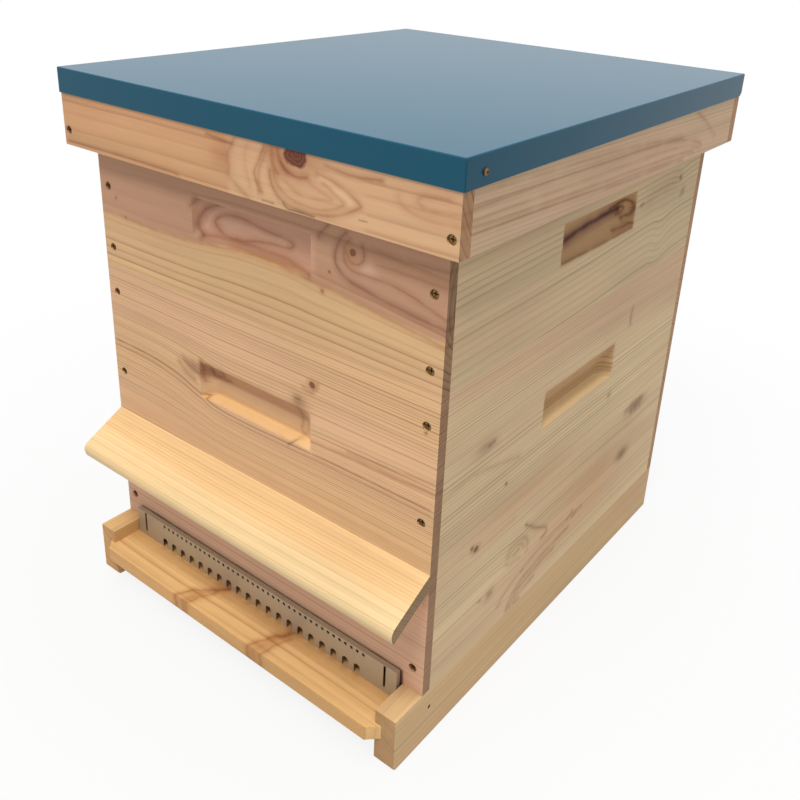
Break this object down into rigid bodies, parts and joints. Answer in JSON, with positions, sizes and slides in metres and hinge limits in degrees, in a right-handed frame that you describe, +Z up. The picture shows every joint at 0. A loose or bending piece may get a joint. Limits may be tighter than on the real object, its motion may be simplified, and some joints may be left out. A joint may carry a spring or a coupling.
{
  "type": "beehive",
  "caption": "Wooden beehive with a floor on rails, brood body, sloped entrance canopy, super, hanging frames, crown board and flat roof under a painted sheet.",
  "frame": {"origin": "on the ground under the middle of the hive's bounding box", "axes": "+X to the right seen from the front, the entrance faces -Y, +Z up"},
  "size_m": [0.4784, 0.5724, 0.5698],
  "materials": {
    "floor_wood": "planed",
    "nail_steel": "dull",
    "galvanised_sheet": "satin",
    "wall_wood": "planed",
    "canopy_wood": "planed",
    "yellow_zinc": "zinc plated",
    "frame_wood": "planed",
    "beeswax": "embossed wax",
    "crown_wood": "planed",
    "roof_wood": "planed",
    "roof_fibreboard": "matt",
    "blue_paint": "satin"
  },
  "bodies": {
    "floor": {"left_rail": "floor_wood", "right_rail": "floor_wood", "landing_board": "floor_wood", "deck_plank_1": "floor_wood", "deck_plank_2": "floor_wood", "deck_plank_3": "floor_wood", "rear_floor_bar": "floor_wood", "rail_nails": "nail_steel"},
    "entrance_guard": {"entrance_guard": "galvanised_sheet"},
    "brood_body": {"body_front_wall": "wall_wood", "body_back_wall": "wall_wood", "body_left_wall": "wall_wood", "body_right_wall": "wall_wood", "body_corner_screws": "yellow_zinc", "canopy_board": "canopy_wood"},
    "brood_frames": {"brood_frame_01": "frame_wood", "brood_frame_02": "frame_wood", "brood_frame_03": "frame_wood", "brood_frame_04": "frame_wood", "brood_frame_05": "frame_wood", "brood_frame_06": "frame_wood", "brood_frame_07": "frame_wood", "brood_frame_08": "frame_wood", "brood_frame_09": "frame_wood", "brood_frame_10": "frame_wood", "brood_foundation": "beeswax"},
    "super": {"super_front_wall": "wall_wood", "super_back_wall": "wall_wood", "super_left_wall": "wall_wood", "super_right_wall": "wall_wood", "super_corner_screws": "yellow_zinc"},
    "super_frames": {"super_frame_01": "frame_wood", "super_frame_02": "frame_wood", "super_frame_03": "frame_wood", "super_frame_04": "frame_wood", "super_frame_05": "frame_wood", "super_frame_06": "frame_wood", "super_frame_07": "frame_wood", "super_frame_08": "frame_wood", "super_frame_09": "frame_wood", "super_foundation": "beeswax"},
    "crown_board": {"crown_panel": "crown_wood", "crown_front_batten": "crown_wood", "crown_back_batten": "crown_wood", "crown_left_batten": "crown_wood", "crown_right_batten": "crown_wood"},
    "roof": {"roof_front_board": "roof_wood", "roof_back_board": "roof_wood", "roof_left_board": "roof_wood", "roof_right_board": "roof_wood", "roof_panel": "roof_fibreboard", "roof_sheet": "blue_paint", "roof_corner_screws": "yellow_zinc", "roof_skirt_screws": "yellow_zinc"}
  },
  "joints": [
    {"name": "guard_pull_out", "type": "slide", "parent": "floor", "child": "entrance_guard", "axis": [0, -1, 0], "range_m": [0, 0.06]},
    {"name": "brood_body_lift", "type": "slide", "parent": "floor", "child": "brood_body", "axis": [0, 0, 1], "range_m": [0, 0.1]},
    {"name": "brood_frames_lift", "type": "slide", "parent": "brood_body", "child": "brood_frames", "axis": [0, 0, 1], "range_m": [0, 0.33]},
    {"name": "super_lift", "type": "slide", "parent": "brood_frames", "child": "super", "axis": [0, 0, 1], "range_m": [0, 0.1]},
    {"name": "super_frames_lift", "type": "slide", "parent": "super", "child": "super_frames", "axis": [0, 0, 1], "range_m": [0, 0.19]},
    {"name": "crown_board_lift", "type": "slide", "parent": "super_frames", "child": "crown_board", "axis": [0, 0, 1], "range_m": [0, 0.06]},
    {"name": "roof_lift", "type": "slide", "parent": "crown_board", "child": "roof", "axis": [0, 0, 1], "range_m": [0, 0.12]}
  ]
}
